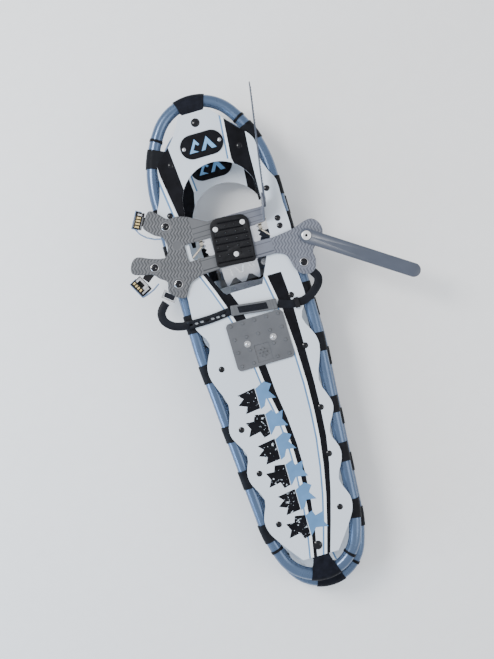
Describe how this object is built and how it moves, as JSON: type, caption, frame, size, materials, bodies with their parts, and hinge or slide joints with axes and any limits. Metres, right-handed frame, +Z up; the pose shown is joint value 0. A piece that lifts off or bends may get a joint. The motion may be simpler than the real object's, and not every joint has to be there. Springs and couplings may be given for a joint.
{
  "type": "pair of snowshoes",
  "caption": "Pair of tubular-frame snowshoes stacked face up, with plastic decks, pivoting crampon bindings, ratchet toe straps and a heel strap.",
  "frame": {"origin": "centre of the upper shoe's foot pad, on its top face", "axes": "+Z up off the foot pad, +Y along the shoe towards the toe, +X to the wearer's right"},
  "size_m": [0.5051, 0.9393, 0.1823],
  "materials": {
    "tube": "satin anodised tube",
    "deck": "printed polyethylene sheet",
    "black_strap": "moulded strap",
    "black_gloss": "gloss black",
    "badge": "gloss badge",
    "steel": "brushed",
    "wire": "yellow zinc wire",
    "crampon": "stamped plate",
    "heel_plate": "moulded plate",
    "pad": "moulded pad",
    "harness": "moulded elastomer",
    "heel_strap": "strap"
  },
  "bodies": {
    "lower_frame": {"lower_toe_bow": "tube", "lower_left_rail": "tube", "lower_right_rail": "tube", "lower_tail_bow": "tube", "lower_frame_collars": "black_strap", "lower_deck": "deck", "lower_deck_clips": "black_strap", "lower_deck_rivets": "black_gloss", "lower_badge_plate": "badge", "lower_heel_plate": "heel_plate", "lower_heel_bolts": "steel", "lower_heel_crampon": "crampon", "lower_pivot_straps": "black_strap", "lower_pivot_rings": "wire", "lower_end_wraps": "black_strap"},
    "lower_binding": {"lower_toe_crampon": "crampon", "lower_foot_pad": "pad", "lower_pad_screws": "steel", "lower_harness": "harness", "lower_toe_straps": "harness", "lower_heel_strap": "heel_strap", "lower_arm_rivets": "steel", "lower_buckles": "black_gloss"},
    "upper_frame": {"toe_bow": "tube", "left_rail": "tube", "right_rail": "tube", "tail_bow": "tube", "frame_collars": "black_strap", "deck": "deck", "deck_clips": "black_strap", "deck_rivets": "black_gloss", "badge_plate": "badge", "heel_plate": "heel_plate", "heel_bolts": "steel", "heel_crampon": "crampon", "pivot_straps": "black_strap", "pivot_rings": "wire", "toe_wrap": "black_strap", "tail_wrap": "black_strap", "badge_rivets": "steel"},
    "upper_binding": {"toe_crampon": "crampon", "foot_pad": "pad", "pad_screws": "steel", "harness_base": "harness"},
    "upper_arms": {"left_arms": "harness", "front_right_arm": "harness", "rear_right_arm": "harness", "arm_rivets": "steel", "heel_strap_left": "heel_strap", "heel_strap_right": "heel_strap", "heel_cushion": "harness", "heel_strap_loop": "steel"},
    "front_buckle": {"front_buckle": "black_gloss"},
    "front_buckle_lever": {"front_buckle_lever": "steel"},
    "rear_buckle": {"rear_buckle": "black_gloss"},
    "rear_buckle_lever": {"rear_buckle_lever": "steel"},
    "front_toe_strap": {"front_toe_strap": "harness"},
    "rear_toe_strap": {"rear_toe_strap": "harness"},
    "heel_strap_keeper": {"heel_strap_keeper": "black_gloss"}
  },
  "joints": [
    {"name": "upper_lift", "type": "slide", "parent": "lower_frame", "child": "upper_frame", "axis": [0, 0, 1], "range_m": [0, 0.25]},
    {"name": "upper_pivot", "type": "hinge", "parent": "upper_frame", "child": "upper_binding", "pos_m": [-0.005, 0.0115, -0.0192], "axis": [-1, 0, 0], "range_deg": [0, 60]},
    {"name": "arms_follow", "type": "hinge", "parent": "upper_binding", "child": "upper_arms", "pos_m": [-0.005, 0.0115, -0.0192], "axis": [-1, 0, 0], "range_deg": [-60, 0]},
    {"name": "lower_pivot", "type": "hinge", "parent": "lower_frame", "child": "lower_binding", "pos_m": [0.001, -0.0195, -0.0842], "axis": [-1, 0, 0], "range_deg": [0, 18]},
    {"name": "front_buckle_swivel", "type": "hinge", "parent": "upper_arms", "child": "front_buckle", "pos_m": [-0.108, 0.0565, -0.0092], "axis": [0, 0, 1], "range_deg": [-4, 4]},
    {"name": "front_buckle_lever_tilt", "type": "hinge", "parent": "front_buckle", "child": "front_buckle_lever", "pos_m": [-0.14647, 0.08983, -0.0112], "axis": [-0.8746, 0.4848, 0], "range_deg": [0, 60]},
    {"name": "rear_buckle_swivel", "type": "hinge", "parent": "upper_arms", "child": "rear_buckle", "pos_m": [-0.147, -0.0085, -0.0092], "axis": [0, 0, 1], "range_deg": [-4, 4]},
    {"name": "rear_buckle_lever_tilt", "type": "hinge", "parent": "rear_buckle", "child": "rear_buckle_lever", "pos_m": [-0.1746, -0.04273, -0.0112], "axis": [0.8829, 0.4695, 0], "range_deg": [0, 60]},
    {"name": "front_toe_strap_swing", "type": "hinge", "parent": "upper_arms", "child": "front_toe_strap", "pos_m": [0.072, 0.0505, 0.0208], "axis": [0.9882, -0.153, 0], "range_deg": [-10, 30]},
    {"name": "rear_toe_strap_swing", "type": "hinge", "parent": "upper_arms", "child": "rear_toe_strap", "pos_m": [0.129, -0.0285, -0.0042], "axis": [0, 0, 1], "range_deg": [-25, 15]},
    {"name": "keeper_slide", "type": "slide", "parent": "upper_arms", "child": "heel_strap_keeper", "axis": [1, 0, 0], "range_m": [-0.006, 0.006]}
  ],
  "couplings": [
    {"joint": "arms_follow", "follows": "upper_pivot", "ratio": -1}
  ]
}
